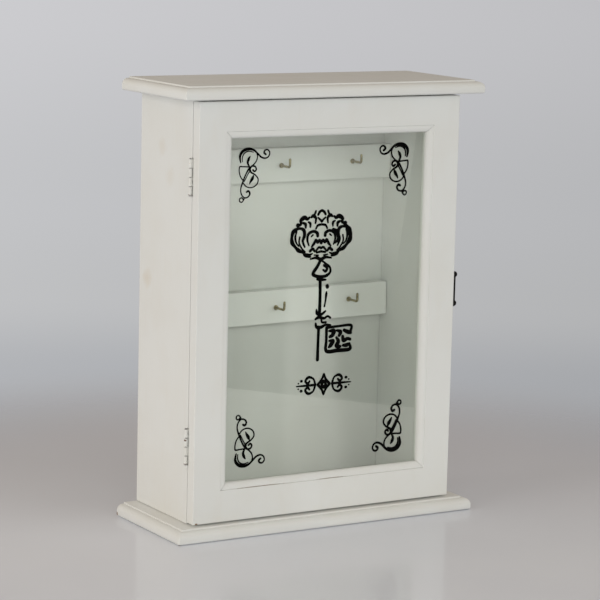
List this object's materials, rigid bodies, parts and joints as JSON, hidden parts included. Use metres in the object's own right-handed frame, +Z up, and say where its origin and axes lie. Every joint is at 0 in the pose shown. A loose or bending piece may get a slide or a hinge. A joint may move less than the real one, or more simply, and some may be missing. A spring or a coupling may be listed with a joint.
{
  "type": "key cabinet",
  "caption": "Wall or shelf key cabinet: painted wooden case with moulded cap and base, hinged glazed door, swing latch and two rails of L-shaped key hooks.",
  "frame": {"origin": "centre of the footprint, at the level of the surface that the base stands on", "axes": "+Z up, -Y towards the front and its glazed door, +X to the right when facing the door"},
  "size_m": [0.2314, 0.092, 0.3],
  "materials": {
    "white_paint": "white eggshell paint over fibreboard and pine, slightly worn at the edges",
    "hinge_paint": "small steel hinges painted over with the case",
    "brass": "dull brass-plated wire",
    "black_iron": "black lacquered iron",
    "steel": "plain steel with a little rust",
    "clear_glass": "clear float glass, slightly green, with a black print on its front"
  },
  "bodies": {
    "cabinet": {"back_panel": "white_paint", "base_board": "white_paint", "base_brad_left_front": "steel", "base_brad_left_rear": "steel", "base_brad_right_front": "steel", "base_brad_right_rear": "steel", "hanger_nail_left": "steel", "hanger_nail_right": "steel", "hinge_lower_cabinet_leaf": "hinge_paint", "hinge_lower_cabinet_screw_high": "hinge_paint", "hinge_lower_cabinet_screw_low": "hinge_paint", "hinge_lower_pin": "steel", "hinge_upper_cabinet_leaf": "hinge_paint", "hinge_upper_cabinet_screw_high": "hinge_paint", "hinge_upper_cabinet_screw_low": "hinge_paint", "hinge_upper_pin": "steel", "hook_pivot_pin": "black_iron", "hook_rail_lower": "white_paint", "hook_rail_upper": "white_paint", "hook_washer": "black_iron", "key_hook_lower_centre": "brass", "key_hook_lower_left": "brass", "key_hook_lower_right": "brass", "key_hook_upper_centre": "brass", "key_hook_upper_left": "brass", "key_hook_upper_right": "brass", "sawtooth_hanger": "steel", "side_panel_left": "white_paint", "side_panel_right": "white_paint", "top_board": "white_paint", "top_brad_left_front": "steel", "top_brad_left_rear": "steel", "top_brad_right_front": "steel", "top_brad_right_rear": "steel"},
    "door": {"door_glass": "clear_glass", "door_rail_bottom": "white_paint", "door_rail_top": "white_paint", "door_stile_left": "white_paint", "door_stile_right": "white_paint", "glass_strip_bottom": "white_paint", "glass_strip_left": "white_paint", "glass_strip_right": "white_paint", "glass_strip_top": "white_paint", "glazing_bead_bottom": "white_paint", "glazing_bead_left": "white_paint", "glazing_bead_right": "white_paint", "glazing_bead_top": "white_paint", "hinge_lower_door_leaf": "hinge_paint", "hinge_lower_door_screw_high": "hinge_paint", "hinge_lower_door_screw_low": "hinge_paint", "hinge_upper_door_leaf": "hinge_paint", "hinge_upper_door_screw_high": "hinge_paint", "hinge_upper_door_screw_low": "hinge_paint", "keeper_nail_lower": "black_iron", "keeper_nail_upper": "black_iron", "keeper_plate": "black_iron", "keeper_stud": "black_iron"},
    "latch_hook": {"swing_hook": "black_iron"}
  },
  "joints": [
    {"name": "door_hinge", "type": "hinge", "parent": "cabinet", "child": "door", "pos_m": [-0.10215, -0.0284, 0.15], "axis": [0, 0, -1], "range_deg": [0, 180]},
    {"name": "latch_pivot", "type": "hinge", "parent": "cabinet", "child": "latch_hook", "pos_m": [0.1031, -0.0212, 0.1556], "axis": [1, 0, 0], "range_deg": [0, 270]}
  ]
}
